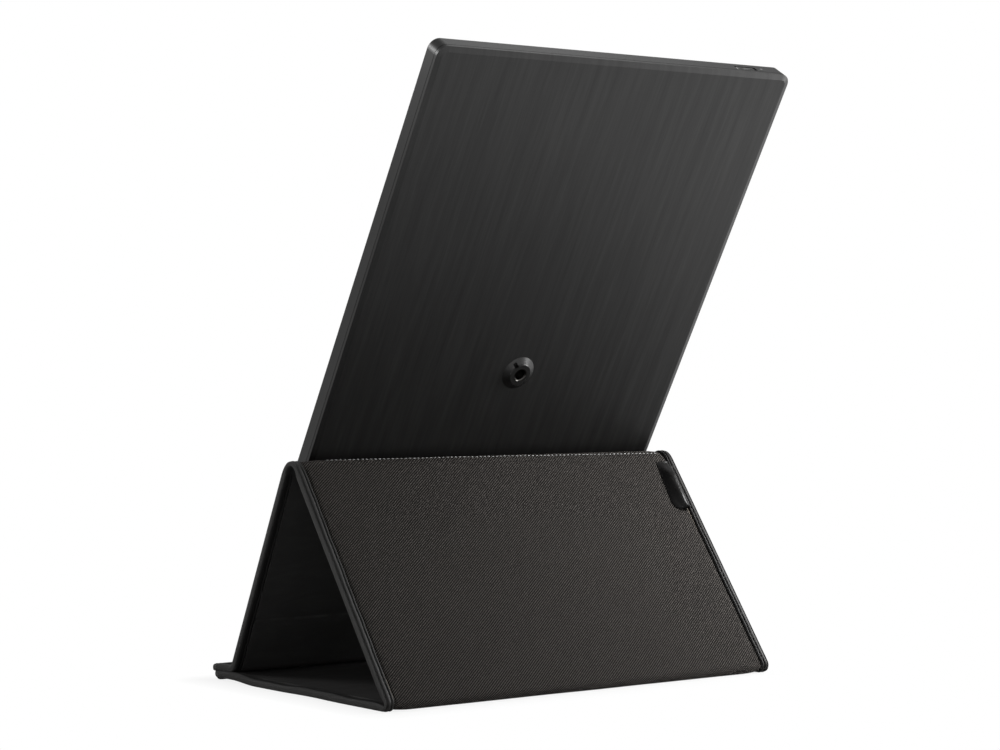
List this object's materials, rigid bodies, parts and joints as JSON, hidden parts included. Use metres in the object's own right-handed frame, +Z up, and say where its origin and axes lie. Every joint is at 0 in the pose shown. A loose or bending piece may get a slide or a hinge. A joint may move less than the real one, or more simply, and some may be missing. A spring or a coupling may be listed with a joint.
{
  "type": "portable monitor with cover",
  "caption": "Slim portable monitor leaning upright on its padded fabric sleeve, folded into a prism-shaped stand with a ledge.",
  "frame": {"origin": "middle of the stand's base, on the surface that it lies on", "axes": "+X along the stand's ridge, -Y where the screen faces, +Z up"},
  "size_m": [0.257, 0.2165, 0.3398],
  "materials": {
    "case_back": "brushed satin black, hairlines along the long side",
    "case_front": "black, polished face and satin side walls",
    "screen_glass": "polished dark screen surface",
    "foam": "closed-cell black foam",
    "white_sheet": "white diffusing film",
    "light_guide": "clear acrylic with a dot pattern",
    "lamps": "white carrier with phosphor lamps",
    "tray_metal": "plain sheet",
    "bracket_metal": "plated sheet",
    "screw_steel": "plated",
    "circuit_board": "green solder mask",
    "flat_cable": "laminated flat cable",
    "socket_shell": "nickel-plated shell",
    "buttons": "polished black",
    "light_lens": "clear lens",
    "peg_plastic": "moulded satin black",
    "sleeve_fabric": "dark grey-brown twill with a fine diagonal rib",
    "lining": "smooth black suede lining",
    "stiffener": "grey board",
    "binding": "grosgrain binding tape with a pale lip",
    "elastic": "woven elastic"
  },
  "bodies": {
    "base": {"base_cover": "sleeve_fabric", "base_board": "stiffener", "base_lining": "lining", "base_trim": "binding", "base_end": "binding", "heel_fold": "sleeve_fabric"},
    "rear_panel": {"rear_panel_cover": "sleeve_fabric", "rear_panel_board": "stiffener", "rear_panel_lining": "lining", "rear_panel_trim": "binding", "side_loop": "elastic", "ridge_fold": "sleeve_fabric"},
    "front_panel": {"front_panel_cover": "sleeve_fabric", "front_upper_board": "stiffener", "front_lower_board": "stiffener", "ledge_board": "stiffener", "front_panel_lining": "lining", "front_panel_trim": "binding", "ledge_end": "binding"},
    "monitor": {"rear_cover": "case_back", "front_bezel": "case_front", "screen_gasket": "foam", "lcd_glass": "screen_glass", "diffuser_sheets": "white_sheet", "light_guide": "light_guide", "lamp_strip": "lamps", "screen_tray": "tray_metal", "tray_brackets": "bracket_metal", "tray_screws": "screw_steel", "driver_board": "circuit_board", "driver_screws": "screw_steel", "usb_port": "socket_shell", "panel_board": "circuit_board", "ribbon_cable": "flat_cable", "button_board": "circuit_board", "status_lens": "light_lens", "peg": "peg_plastic", "peg_bush": "screw_steel"},
    "power_button": {"power_button": "buttons"},
    "brightness_button": {"brightness_button": "buttons"}
  },
  "joints": [
    {"name": "stand_fold", "type": "hinge", "parent": "base", "child": "rear_panel", "pos_m": [0, 0.0855, 0.0042], "axis": [1, 0, 0], "range_deg": [0, 48], "deforming": ["heel_fold"]},
    {"name": "ridge_turn", "type": "hinge", "parent": "rear_panel", "child": "front_panel", "pos_m": [0, 0.00331, 0.1139], "axis": [-1, 0, 0], "range_deg": [0, 102], "deforming": ["ridge_fold", "side_loop"]},
    {"name": "monitor_lift", "type": "slide", "parent": "front_panel", "child": "monitor", "axis": [0, 0.524, 0.8517], "range_m": [0, 0.03]},
    {"name": "power_press", "type": "slide", "parent": "monitor", "child": "power_button", "axis": [0, 0.8517, -0.524], "range_m": [0, 0.0004], "stiffness_N_per_m": 600},
    {"name": "brightness_press", "type": "slide", "parent": "monitor", "child": "brightness_button", "axis": [0, 0.8517, -0.524], "range_m": [0, 0.0004], "stiffness_N_per_m": 600}
  ],
  "couplings": [
    {"joint": "ridge_turn", "follows": "stand_fold", "ratio": 2.12}
  ]
}
